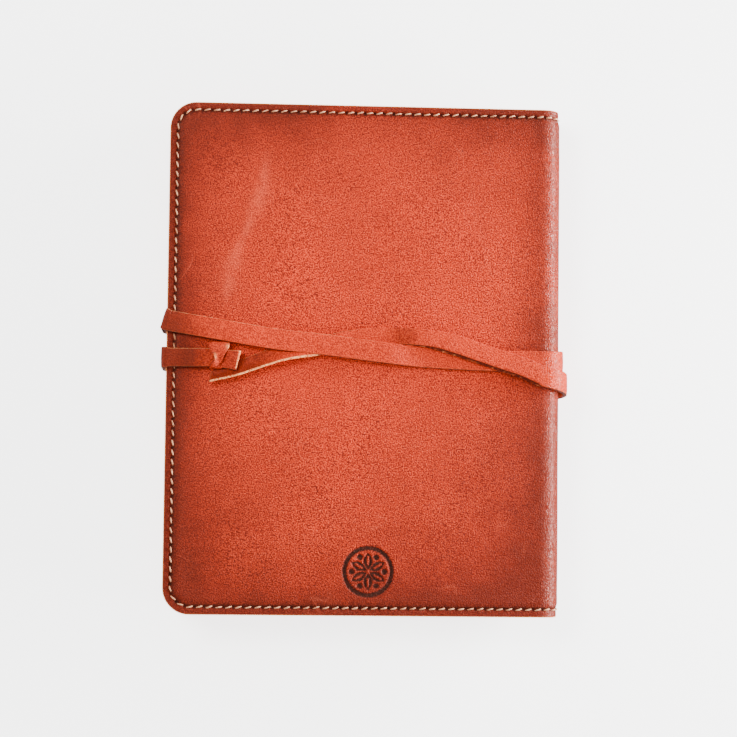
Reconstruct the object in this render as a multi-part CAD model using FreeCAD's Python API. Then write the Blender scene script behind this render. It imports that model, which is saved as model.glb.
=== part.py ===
import FreeCAD, Part
import math
import os

from FreeCAD import Vector

# A refillable leather notebook cover, closed and lying on its front, with a flat leather strap
# wound twice round it.  Millimetres.  X runs from the fore-edge to the spine, Y from tail to head,
# Z up.  The back cover is on top.  The origin is the middle of the whole thing's box, at its base.

# ---- driving dimensions -------------------------------------------------------------------------

# the cover, closed
cover_width = 177.0          # fore-edge to the outside of the spine
cover_height = 229.0         # tail to head
corner_radius = 12.0         # the two fore-edge corners
outer_leather = 1.6
lining_leather = 0.8
sleeve_leather = 0.9
spine_radius = 9.0           # outside of each rounded spine edge
sleeve_width = 70.0          # fore-edge to the free edge of each inside sleeve
fold_gap = 0.05              # between the panels and the spine strip, which are one hide

# the seam
stitch_inset = 3.5           # from the raw edge to the middle of the stitch line
seam_margin = 4.2            # width glued and sewn down behind the stitch line
groove_width = 0.9
groove_depth = 0.4
thread_width = 0.7
thread_clearance = 0.02      # under the thread in its groove
thread_proud = 0.05          # how far the outside thread stands above the leather
bobbin_height = 0.3

# the notebook refill
page_end_margin = 6.5        # the leaves stop short of the cover at head and tail
page_fore_margin = 6.7       # and at the fore-edge
page_corner = 5.0
section_thickness = 2.0
sections_per_half = 3
fold_radius = 0.9            # rounding of each section at its fold
card_thickness = 0.6
card_clearance = 0.1         # each side of the card in its sleeve
card_side_clearance = 0.3    # card edge to the sleeve's seam
page_clearance = 0.1         # pages to sleeve
half_gap = 0.04              # each half of the leaves to the middle plane
tape_thickness = 0.3
tape_reach = 11.0            # onto the outermost page at each side
spine_clearance = 2.6        # binding tape to the spine lining, at mid height
card_spine_gap = 0.7         # how far the cards pass the start of the spine's curve

# the strap
strap_width = 9.5
strap_thickness = 1.8
strap_gap = 0.1              # between strands, and between strap and cover
strap_side_gap = 0.4         # strap to the raw edges at the fore-edge
bend_radius = 0.6            # inside radius where the strap turns over the fore-edge
pinch_width = 6.4            # where the tail is squeezed beside the first strand
pinch_gap = 0.9
knot_height = 2.7
stub_reach = 8.6             # the knot's middle to the strap's cut end

# the pressed mark on the back cover
mark_radius = 11.5
mark_ring = 1.1
mark_depth = 0.25
petal_radius = 9.2
petal_count = 6
mark_x = 2.0
mark_above_tail = 19.7       # from the cover's lower edge to the mark's middle

# ---- levels and places worked out from them -----------------------------------------------------

level_step = strap_thickness + strap_gap
under_low = strap_thickness / 2

cover_base = 2 * level_step
lining_base = cover_base + outer_leather
pocket_base = lining_base + lining_leather
card_base = pocket_base + card_clearance
sleeve_base = card_base + card_thickness + card_clearance
page_base = sleeve_base + sleeve_leather + page_clearance
middle = page_base + half_gap + sections_per_half * section_thickness
cover_top = 2 * middle - cover_base

top_low = cover_top + strap_gap + strap_thickness / 2
top_high = top_low + level_step

fore_x = -cover_width / 2
half_height = cover_height / 2
fold_x = cover_width / 2 - spine_radius
arc_low = cover_base + spine_radius
arc_high = cover_top - spine_radius

lining_radius = spine_radius - outer_leather
inside_radius = lining_radius - lining_leather
spine_page_x = fold_x + inside_radius - spine_clearance - tape_thickness
fore_page_x = fore_x + page_fore_margin
page_height = cover_height - 2 * page_end_margin
card_fore_x = fore_x + seam_margin + card_side_clearance
card_spine_x = fold_x + card_spine_gap
sleeve_x = fore_x + sleeve_width

strap_fore_x = fore_x - strap_side_gap - strap_thickness
strap_spine_x = fold_x + spine_radius + 2 * level_step
centre_x = (strap_fore_x + strap_spine_x) / 2


# ---- small helpers ------------------------------------------------------------------------------

def panel(x_left, x_right, half_y, radius, base, thickness):
    """A flat sheet whose two corners on the left are rounded."""
    bow = radius * math.sqrt(0.5)
    head_left = Vector(x_left + radius, half_y, base)
    left_head = Vector(x_left, half_y - radius, base)
    left_tail = Vector(x_left, radius - half_y, base)
    tail_left = Vector(x_left + radius, -half_y, base)
    head_mid = Vector(x_left + radius - bow, half_y - radius + bow, base)
    tail_mid = Vector(x_left + radius - bow, radius - half_y - bow, base)
    head_right = Vector(x_right, half_y, base)
    tail_right = Vector(x_right, -half_y, base)
    wire = Part.Wire([
        Part.LineSegment(head_right, head_left).toShape(),
        Part.Arc(head_left, head_mid, left_head).toShape(),
        Part.LineSegment(left_head, left_tail).toShape(),
        Part.Arc(left_tail, tail_mid, tail_left).toShape(),
        Part.LineSegment(tail_left, tail_right).toShape(),
        Part.LineSegment(tail_right, head_right).toShape(),
    ])
    return Part.Face(wire).extrude(Vector(0, 0, thickness))


def cover_panel(inset, x_right, base, thickness):
    """A sheet that follows the cover's outline, a given distance in from its raw edge."""
    return panel(fore_x + inset, x_right, half_height - inset, corner_radius - inset, base, thickness)


def edge_band(inner, outer, x_right, base, thickness):
    """The strip of the cover's outline between two insets, along head, fore-edge and tail."""
    whole = cover_panel(outer, x_right, base, thickness)
    middle_part = cover_panel(inner, x_right, base, thickness)
    return whole.cut(middle_part)


def stitch_band(width, x_right, base, thickness):
    return edge_band(stitch_inset + width / 2, stitch_inset - width / 2, x_right, base, thickness)


def spine_shell(radius, wall, y_low, y_high):
    """A U-shaped wall round the spine: two quarter circles joined by a straight back."""
    def half_turn(r, turn):
        bow = r * math.sqrt(0.5)
        start = Vector(fold_x + fold_gap, y_low, arc_low - r)
        low_mid = Vector(fold_x + bow, y_low, arc_low - bow)
        low_end = Vector(fold_x + r, y_low, arc_low)
        high_start = Vector(fold_x + r, y_low, arc_high)
        high_mid = Vector(fold_x + bow, y_low, arc_high + bow)
        end = Vector(fold_x + fold_gap, y_low, arc_high + r)
        edges = [
            Part.Arc(start, low_mid, low_end).toShape(),
            Part.LineSegment(low_end, high_start).toShape(),
            Part.Arc(high_start, high_mid, end).toShape(),
        ]
        return edges if turn > 0 else edges[::-1], start, end
    outside, out_start, out_end = half_turn(radius, 1)
    inside, in_start, in_end = half_turn(radius - wall, -1)
    closing = [Part.LineSegment(out_end, in_end).toShape()]
    opening = [Part.LineSegment(in_start, out_start).toShape()]
    face = Part.Face(Part.Wire(outside + closing + inside + opening))
    return face.extrude(Vector(0, y_high - y_low, 0))


def spine_bands(radius, wall, width):
    """The same wall as two narrow bands along the stitch line, at the head and at the tail."""
    line_y = half_height - stitch_inset
    bands = [spine_shell(radius, wall, y - width / 2, y + width / 2) for y in (line_y, -line_y)]
    return bands


def to_back(shape):
    """The same piece in the other half of the cover, across the middle plane."""
    return shape.mirror(Vector(0, 0, middle), Vector(0, 0, 1))


# ---- leather ------------------------------------------------------------------------------------

def outer_panel():
    sheet = cover_panel(0, fold_x, cover_base, outer_leather)
    groove = stitch_band(groove_width, fold_x, cover_base, groove_depth)
    return sheet.cut(groove)


def lining_panel():
    return cover_panel(0, fold_x, lining_base, lining_leather)


def sleeve_panel():
    """A pocket leaf sewn down on three sides, open towards the spine for the notebook's card."""
    leaf = cover_panel(0, sleeve_x, sleeve_base, sleeve_leather)
    seam = edge_band(seam_margin, 0, sleeve_x, pocket_base, sleeve_base - pocket_base)
    return leaf.fuse(seam).removeSplitter()


def spine_leather():
    shell = spine_shell(spine_radius, outer_leather, -half_height, half_height)
    for groove in spine_bands(spine_radius, groove_depth, groove_width):
        shell = shell.cut(groove)
    return shell


def spine_lining():
    return spine_shell(lining_radius, lining_leather, -half_height, half_height)


def pressed_mark():
    """A plain six-petal rosette in a ring: each petal is where two equal circles overlap."""
    base = cover_top - mark_depth
    height = 2 * mark_depth
    up = Vector(0, 0, 1)
    mid = Vector(mark_x, mark_above_tail - half_height, base)
    ring = Part.makeCylinder(mark_radius, height, mid, up)
    ring = ring.cut(Part.makeCylinder(mark_radius - mark_ring, height, mid, up))
    cuts = [ring]
    for number in range(petal_count):
        pair = []
        for side in (-1, 1):
            angle = math.radians(number * 360.0 / petal_count + side * 60.0)
            offset = Vector(math.cos(angle), math.sin(angle), 0) * petal_radius
            pair.append(Part.makeCylinder(petal_radius, height, mid + offset, up))
        lens = pair[0].common(pair[1])
        hub = Part.makeCylinder(petal_radius * 0.12, height, mid, up)
        cuts.append(lens.cut(hub))
    return cuts


def back_leather():
    sheet = to_back(outer_panel())
    for cut in pressed_mark():
        sheet = sheet.cut(cut)
    return sheet


# ---- thread -------------------------------------------------------------------------------------

def needle_thread():
    """The outside thread, in its groove all round the panel."""
    height = groove_depth - thread_clearance + thread_proud
    return stitch_band(thread_width, fold_x, cover_base - thread_proud, height)


def bobbin_thread():
    """The inside thread: over the sleeve, down its free edge, and on along the lining."""
    on_sleeve = stitch_band(thread_width, sleeve_x + thread_width, sleeve_base + sleeve_leather,
                            bobbin_height)
    on_lining = stitch_band(thread_width, fold_x, pocket_base, bobbin_height)
    clear = Part.makeBox(sleeve_width + 1, cover_height, bobbin_height,
                         Vector(fore_x - 1, -half_height, pocket_base))
    thread = on_sleeve.fuse(on_lining.cut(clear))
    drop_height = sleeve_base + sleeve_leather + bobbin_height - pocket_base
    for y in (half_height - stitch_inset, stitch_inset - half_height):
        corner = Vector(sleeve_x, y - thread_width / 2, pocket_base)
        thread = thread.fuse(Part.makeBox(thread_width, thread_width, drop_height, corner))
    return thread.removeSplitter()


def spine_needle_thread():
    wall = groove_depth - thread_clearance + thread_proud
    return Part.Compound(spine_bands(spine_radius + thread_proud, wall, thread_width))


def spine_bobbin_thread():
    return Part.Compound(spine_bands(inside_radius, bobbin_height, thread_width))


# ---- notebook refill ----------------------------------------------------------------------------

def card():
    return panel(card_fore_x, card_spine_x, page_height / 2, page_corner, card_base, card_thickness)


def section(number):
    """One folded bundle of leaves, rounded along its fold; number 1 lies next to the cover."""
    base = page_base + (number - 1) * section_thickness
    sheet = panel(fore_page_x, spine_page_x, page_height / 2, page_corner, base, section_thickness)
    folds = [edge for edge in sheet.Edges
             if abs(edge.CenterOfMass.x - spine_page_x) < 0.01 and edge.Length > page_height / 2]
    return sheet.makeFillet(fold_radius, folds)


def binding_tape():
    """Cloth glued down the folds and a little way over the outermost page."""
    down_folds = Part.makeBox(tape_thickness, page_height, middle - half_gap - page_base + tape_thickness,
                              Vector(spine_page_x, -page_height / 2, page_base - tape_thickness))
    over_page = Part.makeBox(tape_reach, page_height, tape_thickness,
                             Vector(spine_page_x - tape_reach, -page_height / 2,
                                    page_base - tape_thickness))
    return down_folds.fuse(over_page).removeSplitter()


# ---- strap --------------------------------------------------------------------------------------

def ramp(value, start, end):
    """Rises smoothly from 0 at start to 1 at end."""
    t = min(1.0, max(0.0, (value - start) / (end - start)))
    return t * t * (3 - 2 * t)


def across(share):
    """A place between the fore-edge (-1) and the spine (+1)."""
    return share * cover_width / 2


# Middle lines of the strands on the back cover, as (share of the half width, y).
# The first strand crosses level at the spine and climbs towards the fore-edge.
strand_a = [(0.9, -0.3), (0.62, -0.2), (0.342, 0.7), (0.14, 2.1), (-0.204, 5.6), (-0.471, 8.0),
            (-0.74, 11.8), (-0.97, 15.3)]
beside_a = strap_width / 2 + pinch_width / 2 + pinch_gap
# The second strand lies over the first from the spine, drops down beside it, and its free end
# is tucked back under it.
strand_b = [(0.9, -6.6), (0.80, -3.6), (0.696, -0.7), (0.56, 3.2), (0.437, 6.7), (0.30, 1.0 + beside_a),
            (0.20, 1.6 + beside_a), (0.10, 2.5 + beside_a), (-0.077, 9.4), (-0.225, 6.3),
            (-0.438, 0.4), (-0.62, -5.8), (-0.774, -10.9)]
switch_from = 0.285          # second strand over the first nearer the spine than this
switch_to = 0.115            # and under it nearer the fore-edge than this
a_lands = -0.53              # the first strand lies over the tail as far as this
a_down = -0.66
c_rises = -0.88              # the knotted end leaves the cover here
c_up = -0.79
run_2_down = -0.66           # the underside strands cross nearer the spine than this
run_2_low = -0.80
knot_share = -0.7345
side_y_a = 16.2
side_y_b = -12.5
knot_y = -0.9


def level_a(x):
    over_tail = ramp(x, across(a_down), across(a_lands)) * (1 - ramp(x, across(switch_to), across(switch_from)))
    return top_low + level_step * over_tail


def level_b(x):
    return top_low + level_step * ramp(x, across(switch_to), across(switch_from))


def level_c(x):
    return top_low + level_step * ramp(x, across(c_rises), across(c_up))


def level_run_2(x):
    return under_low + level_step * ramp(x, across(run_2_low), across(run_2_down))


def width_b(x):
    squeeze = ramp(x, across(-0.02), across(0.10)) * (1 - ramp(x, across(0.30), across(0.42)))
    return strap_width - (strap_width - pinch_width) * squeeze


def plan_curve(points):
    curve = Part.BSplineCurve()
    curve.interpolate([Vector(across(share), y, 0) for share, y in points])
    return curve


def flat_run(points, level, width, outward, count):
    """Stations (middle point, outward direction, width) along a strand that lies flat."""
    places = plan_curve(points).discretize(Number=count)
    return [(Vector(p.x, p.y, level(p.x)), outward, width(p.x)) for p in places]


def turn(middle_x, middle_z, radius, start, end, y_start, y_end, count):
    """Stations round an arc in the X-Z plane; angles in degrees from +X towards +Z."""
    stations = []
    for step in range(count + 1):
        share = step / count
        angle = math.radians(start + (end - start) * share)
        outward = Vector(math.cos(angle), 0, math.sin(angle))
        place = Vector(middle_x, 0, middle_z) + outward * radius
        place.y = y_start + (y_end - y_start) * share
        stations.append((place, outward, strap_width))
    return stations


def over_fore_edge(y_top, y_side, y_low):
    """Down over the raw edges, from the back cover to the table."""
    radius = bend_radius + strap_thickness / 2
    x = fore_x - strap_side_gap + bend_radius
    upper = turn(x, top_low - radius, radius, 90, 180, y_top, y_side, 4)
    lower = turn(x, under_low + radius, radius, 180, 270, y_side, y_low, 4)
    return upper + lower


def round_spine(radius, y_low, y_side, y_top):
    """Up round the spine, from the table to the back cover."""
    lower = turn(fold_x, arc_low, radius, -90, 0, y_low, y_side, 6)
    upper = turn(fold_x, arc_high, radius, 0, 90, y_side, y_top, 6)
    return lower + upper


def strap_stations():
    """The whole strap from its cut end at the knot to its free tail."""
    up = Vector(0, 0, 1)
    down = Vector(0, 0, -1)

    def full(x):
        return strap_width

    bend_x = (fore_x - strap_side_gap + bend_radius) / (cover_width / 2)
    spine_x = fold_x / (cover_width / 2)
    stub_x = knot_share + stub_reach / (cover_width / 2)
    inner = spine_radius + strap_gap + strap_thickness / 2
    knotted_end = [(stub_x, -2.1), (knot_share, -1.3), (c_rises, knot_y), (bend_x + 0.01, knot_y)]
    run_2 = [(bend_x + 0.01, knot_y), (-0.3, -0.4), (spine_x - 0.01, 0.4)]
    run_1 = [(bend_x + 0.01, side_y_a - 0.2), (spine_x - 0.01, side_y_b)]
    first = [(spine_x - 0.01, -0.3)] + strand_a[1:]
    second = [(spine_x - 0.01, -6.6)] + strand_b[1:]

    route = flat_run(knotted_end, level_c, full, up, 12)
    route += over_fore_edge(knot_y, knot_y, knot_y)
    route += flat_run(run_2, level_run_2, full, down, 16)
    route += round_spine(inner, 0.4, 0.4, -0.3)
    route += flat_run(first, level_a, full, up, 34)
    route += over_fore_edge(15.6, side_y_a, side_y_a)
    route += flat_run(run_1, lambda x: under_low, full, down, 4)
    route += round_spine(inner + level_step, side_y_b, -10.6, -6.9)
    route += flat_run(second, level_b, width_b, up, 46)
    return route


def strap_sections(route):
    """A rectangle across the strap at every station, square to the way the strap runs."""
    wires = []
    last = len(route) - 1
    for number, (place, outward, width) in enumerate(route):
        behind = route[max(0, number - 1)][0]
        ahead = route[min(last, number + 1)][0]
        along = (ahead - behind).normalize()
        side = outward.cross(along).normalize()
        face = along.cross(side).normalize()
        half_side = side * (width / 2)
        half_face = face * (strap_thickness / 2)
        corners = [place + half_side + half_face, place - half_side + half_face,
                   place - half_side - half_face, place + half_side - half_face]
        wires.append(Part.makePolygon(corners + corners[:1]))
    return wires


def knot():
    """The turn of the overhand knot that lies across the strap, as a thick slanting band."""
    x = across(knot_share)
    outline = [(-4.7, 2.9), (-4.7, 5.5), (4.5, 5.5), (4.1, 2.9), (1.8, -1.1), (1.4, -4.8), (-3.7, -4.6), (-1.8, -1.1)]
    base = top_high - strap_thickness / 2
    corners = [Vector(x + dx, y, base) for dx, y in outline]
    block = Part.Face(Part.makePolygon(corners + corners[:1])).extrude(Vector(0, 0, knot_height))
    upper = [edge for edge in block.Edges if abs(edge.CenterOfMass.z - base - knot_height) < 0.01]
    return block.makeFillet(0.7, upper)


def wrap_strap():
    ribbon = Part.makeLoft(strap_sections(strap_stations()), True, True)
    return ribbon.fuse(knot())


# ---- nodes --------------------------------------------------------------------------------------

def front_cover_nodes():
    nodes = {
        "outer_leather_front": outer_panel(),
        "lining_front": lining_panel(),
        "sleeve_front": sleeve_panel(),
        "needle_thread_front": needle_thread(),
        "bobbin_thread_front": bobbin_thread(),
        "card_cover_front": card(),
        "binding_tape_front": binding_tape(),
    }
    for number in range(1, sections_per_half + 1):
        nodes["paper_section_%d" % number] = section(number)
    return nodes


def back_cover_nodes():
    nodes = {
        "outer_leather_back": back_leather(),
        "lining_back": to_back(lining_panel()),
        "sleeve_back": to_back(sleeve_panel()),
        "needle_thread_back": to_back(needle_thread()),
        "bobbin_thread_back": to_back(bobbin_thread()),
        "card_cover_back": to_back(card()),
        "binding_tape_back": to_back(binding_tape()),
    }
    for number in range(1, sections_per_half + 1):
        nodes["paper_section_%d" % (2 * sections_per_half + 1 - number)] = to_back(section(number))
    return nodes


def spine_and_strap_nodes():
    return {
        "outer_leather_spine": spine_leather(),
        "lining_spine": spine_lining(),
        "needle_thread_spine": spine_needle_thread(),
        "bobbin_thread_spine": spine_bobbin_thread(),
        "wrap_strap": wrap_strap(),
    }


def write_nodes():
    os.makedirs("parts", exist_ok=True)
    nodes = {**front_cover_nodes(), **back_cover_nodes(), **spine_and_strap_nodes()}
    for name, shape in nodes.items():
        shape = shape.copy()
        shape.translate(Vector(-centre_x, 0, 0))
        shape.exportStep(os.path.join("parts", name + ".step"))


def hinge_places():
    """Hinges of the spine, the back cover and the rear leaves, which lay the open cover flat."""
    mid_leather = spine_radius - outer_leather / 2
    rise = (1 - math.pi / 4) * mid_leather
    spine_hinge = (fold_x - centre_x + math.pi / 4 * mid_leather, cover_base + outer_leather / 2 + rise)
    cover_hinge = (spine_hinge[0], 2 * middle - spine_hinge[1])
    leaf_hinge = (spine_page_x + tape_thickness + 0.05 - centre_x, middle)
    return {"spine_fold": spine_hinge, "cover_open": cover_hinge, "leaves_turn": leaf_hinge}


write_nodes()
for hinge, (hinge_x, hinge_z) in hinge_places().items():
    print("%s: x %.4f z %.4f" % (hinge, hinge_x, hinge_z))
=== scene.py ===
import math
from functools import partial

import bmesh
import bpy
import numpy as np
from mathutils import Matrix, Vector


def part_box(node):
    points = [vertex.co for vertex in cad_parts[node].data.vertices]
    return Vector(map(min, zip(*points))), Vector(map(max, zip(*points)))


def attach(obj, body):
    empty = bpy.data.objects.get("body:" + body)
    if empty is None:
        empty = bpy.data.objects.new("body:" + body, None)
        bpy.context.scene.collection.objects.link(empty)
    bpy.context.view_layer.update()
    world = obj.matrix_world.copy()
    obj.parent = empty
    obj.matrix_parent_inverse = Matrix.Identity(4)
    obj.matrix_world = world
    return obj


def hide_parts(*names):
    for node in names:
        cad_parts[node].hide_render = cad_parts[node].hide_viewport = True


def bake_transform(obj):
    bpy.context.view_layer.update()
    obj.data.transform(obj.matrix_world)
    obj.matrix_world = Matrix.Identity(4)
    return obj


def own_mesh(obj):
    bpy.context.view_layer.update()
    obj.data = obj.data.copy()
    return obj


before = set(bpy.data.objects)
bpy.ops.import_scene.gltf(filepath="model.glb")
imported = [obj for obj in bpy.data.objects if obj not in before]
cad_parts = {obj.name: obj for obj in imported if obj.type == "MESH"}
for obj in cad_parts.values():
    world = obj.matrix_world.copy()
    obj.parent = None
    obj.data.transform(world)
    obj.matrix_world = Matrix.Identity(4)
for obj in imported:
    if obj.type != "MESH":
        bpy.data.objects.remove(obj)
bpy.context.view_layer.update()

# A refillable leather notebook cover, closed, with a flat leather strap wound twice round it.
# Shapes are worked out in millimetres and put into the meshes in metres.

MM = 0.001


def box_mm(node):
    """The lowest and highest corner of a node of the frame, in millimetres."""
    low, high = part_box(node)
    return np.array(low) / MM, np.array(high) / MM


# ---- sizes --------------------------------------------------------------------------------------

hide_low, hide_high = box_mm("outer_leather_front")
top_high = box_mm("outer_leather_back")[1]
spine_high = box_mm("outer_leather_spine")[1]
sleeve_high = box_mm("sleeve_front")[1]
section_low, section_high = box_mm("paper_section_1")

FORE_X = hide_low[0]                   # the raw fore-edge
FOLD_X = hide_high[0]                  # where the hide starts to curve round the spine
HALF_Y = hide_high[1]
BASE_Z = hide_low[2]
TOP_Z = top_high[2]
MIDDLE_Z = (BASE_Z + TOP_Z) / 2
SPINE_R = spine_high[0] - FOLD_X
HIDE = 1.6                             # thickness of the outer leather
LINING = 0.8
SLEEVE = 0.9
BEND_R = SPINE_R - HIDE / 2            # the hide keeps its length along this radius
CORNER_R = 12.0
SLEEVE_X = sleeve_high[0]
POCKET_DEPTH = sleeve_high[2] - BASE_Z - SLEEVE
SPINE_BACK = (TOP_Z - BASE_Z) / 2 - SPINE_R
END_X = FOLD_X + BEND_R * math.pi / 2 + SPINE_BACK      # the spine's middle, along the hide

STITCH_INSET = 3.5
STITCH_PITCH = 4.3
THREAD_R = 0.31
STITCH_END = 0.62                      # from the middle of a needle hole to the stitch's end

MARK_X = 1.6
MARK_Y = -HALF_Y + 19.7
MARK_R = 11.5
MARK_RING_R = 9.5                      # the inside of its ring

PAGE_CORNER = 5.0
PAGE_LINES = 6.0                       # between the grid lines of the pages
LEAF_ROWS = 25                         # steps in and out on the cut edge of one section
TAPE = 0.3
TAPE_CORNER = 1.1

STRAP_W = 9.5
STRAP_T = 1.8
STRAP_GAP = 0.1
FORE_GAP = 0.4                         # strap to the raw fore-edge
INSIDE_BEND = 0.6                      # inside radius where the strap turns over the fore-edge
LEVEL = STRAP_T + STRAP_GAP


# ---- numbers and arrays -------------------------------------------------------------------------

def ramp(value, start, end):
    """Rises smoothly from 0 at start to 1 at end: 3t squared less 2t cubed."""
    t = np.clip((value - start) / (end - start), 0, 1)
    return t * t * (3 - 2 * t)


def bump(value, middle, width):
    """A bell curve of height 1."""
    return np.exp(-((value - middle) / width) ** 2)


def unit(vectors):
    return vectors / np.linalg.norm(vectors, axis=-1, keepdims=True)


def soft_waves(x, y, longest, shortest, count, seed):
    """A slowly rolling surface between -1 and 1: the mean of sines of mixed length and heading."""
    draw = np.random.default_rng(seed)
    total = np.zeros(np.broadcast(x, y).shape)
    for _ in range(count):
        heading = draw.uniform(0, 2 * math.pi)
        length = draw.uniform(shortest, longest)
        phase = draw.uniform(0, 2 * math.pi)
        along = x * math.cos(heading) + y * math.sin(heading)
        total = total + np.sin(along * 2 * math.pi / length + phase)
    return total / count * 1.6


def grid_faces(rows, columns, first=0):
    """Quads of a grid of points stored row by row."""
    index = first + np.arange(rows * columns).reshape(rows, columns)
    quads = np.stack([index[:-1, :-1], index[1:, :-1], index[1:, 1:], index[:-1, 1:]], axis=-1)
    return quads.reshape(-1, 4).tolist()


def tube_faces(rings, around, first=0):
    """Quads of a tube whose rings close on themselves."""
    ring = np.arange(around)
    index = first + np.arange(rings)[:, None] * around + ring[None, :]
    after = np.roll(index, -1, axis=1)
    quads = np.stack([index[:-1], after[:-1], after[1:], index[1:]], axis=-1)
    return quads.reshape(-1, 4).tolist()


def face_outwards(mesh, merge):
    """Turns all faces outwards; merge first joins the points that lie in one place."""
    work = bmesh.new()
    work.from_mesh(mesh)
    if merge:
        bmesh.ops.remove_doubles(work, verts=work.verts, dist=2e-6)
    bmesh.ops.recalc_face_normals(work, faces=work.faces)
    work.to_mesh(mesh)
    work.free()


def make_piece(name, points, faces, material, values=None, flat_faces=0, merge=True):
    """A mesh from points in millimetres; the last flat_faces faces stay flat shaded."""
    mesh = bpy.data.meshes.new(name)
    mesh.from_pydata((np.asarray(points).reshape(-1, 3) * MM).tolist(), [], faces)
    for key, value in (values or {}).items():
        layer = mesh.attributes.new(key, "FLOAT", "POINT")
        layer.data.foreach_set("value", np.asarray(value, np.float32).ravel())
    smooth = np.ones(len(mesh.polygons), bool)
    if flat_faces:
        smooth[-flat_faces:] = False
    mesh.polygons.foreach_set("use_smooth", smooth)
    if merge:
        face_outwards(mesh, True)
    mesh.materials.append(material)
    piece = bpy.data.objects.new(name, mesh)
    bpy.context.scene.collection.objects.link(piece)
    return piece


# ---- materials ----------------------------------------------------------------------------------

COLOURS = {"output": 2, "data_type": "RGBA"}              # for a node that mixes two colours
SMOOTH = {"interpolation_type": "SMOOTHSTEP"}             # for one that maps a range with soft ends


def to_linear(code):
    """An sRGB hex colour as linear red, green, blue and alpha."""
    parts = [int(code[i:i + 2], 16) / 255 for i in (1, 3, 5)]
    return [c / 12.92 if c <= 0.04045 else ((c + 0.055) / 1.055) ** 2.4 for c in parts] + [1.0]


def add(tree, kind, inputs=None, output=0, **settings):
    """Adds a node, sets it, and fills its inputs with values or with other nodes' outputs. Gives the
    output asked for, or the node itself where output is None."""
    made = tree.nodes.new("ShaderNode" + kind)
    for key, value in settings.items():
        setattr(made, key, value)
    for socket, value in (inputs or {}).items():
        if isinstance(value, bpy.types.NodeSocket):
            tree.links.new(value, made.inputs[socket])
        else:
            made.inputs[socket].default_value = value
    return made if output is None else made.outputs[output]


def new_material(name):
    material = bpy.data.materials.new(name)
    material.use_nodes = True
    tree = material.node_tree
    tree.nodes.clear()
    shader = add(tree, "BsdfPrincipled", output=None)
    add(tree, "OutputMaterial", {"Surface": shader.outputs[0]}, output=None)
    return material, tree, shader


def set_surface(tree, shader, colour, roughness, height, strength, depth):
    """Gives the shader its colour, an even roughness and a relief `depth` millimetres deep."""
    tree.links.new(colour, shader.inputs["Base Color"])
    shader.inputs["Roughness"].default_value = roughness
    relief = add(tree, "Bump", {"Strength": strength, "Distance": depth * MM, "Height": height})
    tree.links.new(relief, shader.inputs["Normal"])


def hide_texture(tree):
    """The patterns of a hide, by name: creases between pebbles about 1 mm across, which are cells bent
    by noise, then pores, blotches and clouds where the dye took unevenly, and thin veins. With them are
    the values that each piece holds for its own wear, marks and cuts, and for its painted shade."""
    place = add(tree, "TexCoord", output="Object")
    warp = add(tree, "TexNoise", {"Vector": place, "Scale": 1 / (2.2 * MM), "Detail": 2.0}, output="Color")
    nudge = add(tree, "VectorMath", {0: warp, 3: 0.8 * MM}, operation="SCALE")
    bent = add(tree, "VectorMath", {0: place, 1: nudge}, operation="ADD")
    found = {"crease": add(tree, "TexVoronoi", {"Vector": bent, "Scale": 1 / (1.05 * MM)},
                           output="Distance", feature="DISTANCE_TO_EDGE")}
    for name, size, detail, roughness, twist in (("pore", 0.56, 1.0, 0.5, 0.0), ("cloud", 42, 4.0, 0.55, 0.0),
                                                 ("blotch", 8, 5.0, 0.62, 0.0), ("vein", 34, 1.5, 0.5, 0.8),
                                                 ("patch", 26, 2.0, 0.5, 0.0)):
        found[name] = add(tree, "TexNoise", {"Vector": place, "Scale": 1 / (size * MM), "Detail": detail,
                                             "Roughness": roughness, "Distortion": twist})
    for name in ("burnish_and_painted_shade", "streak", "raw", "pressed", "polish"):
        found[name] = add(tree, "Attribute", output="Fac", attribute_name=name)
    return found


def dyed_face(tree, found, light, dark, pit, top, grain):
    """The dyed face: dark where it is burnished and where shade is painted on, darker in the pits and paler
    on the pebbles' tops, which wear off where it is darkened. Gives the colour."""
    cloudy = add(tree, "Math", {0: found["cloud"], 1: 0.5}, operation="SUBTRACT")
    # darkening from clouds, blotches, burnish and painted shade
    wear_and_shade = add(tree, "Math", {0: cloudy, 1: 0.9, 2: found["burnish_and_painted_shade"]}, operation="MULTIPLY_ADD")
    blotchy = add(tree, "Math", {0: found["blotch"], 1: 0.5}, operation="SUBTRACT")
    wear_and_shade = add(tree, "Math", {0: blotchy, 1: 0.35, 2: wear_and_shade}, operation="MULTIPLY_ADD")
    colour = add(tree, "Mix", {0: wear_and_shade, 6: to_linear(light), 7: to_linear(dark)}, **COLOURS)
    pebble = add(tree, "Math", {0: found["crease"], 1: 0.25, 2: found["pore"]}, operation="MULTIPLY_ADD")
    sunk = add(tree, "MapRange", {0: pebble, 1: 0.56, 2: 0.42, 4: grain}, **SMOOTH)
    deep = add(tree, "Mix", {0: 0.90, 6: colour, 7: to_linear(pit)}, **COLOURS)
    colour = add(tree, "Mix", {0: sunk, 6: colour, 7: deep}, **COLOURS)
    raised = add(tree, "MapRange", {0: pebble, 1: 0.56, 2: 0.70, 4: 0.42 * grain}, **SMOOTH)
    fresh = add(tree, "MapRange", {0: wear_and_shade, 1: 1.0, 2: 0.2, 3: 0.15}, **SMOOTH)
    raised = add(tree, "Math", {0: raised, 1: fresh}, operation="MULTIPLY")
    return add(tree, "Mix", {0: raised, 6: colour, 7: to_linear(top)}, **COLOURS)


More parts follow.
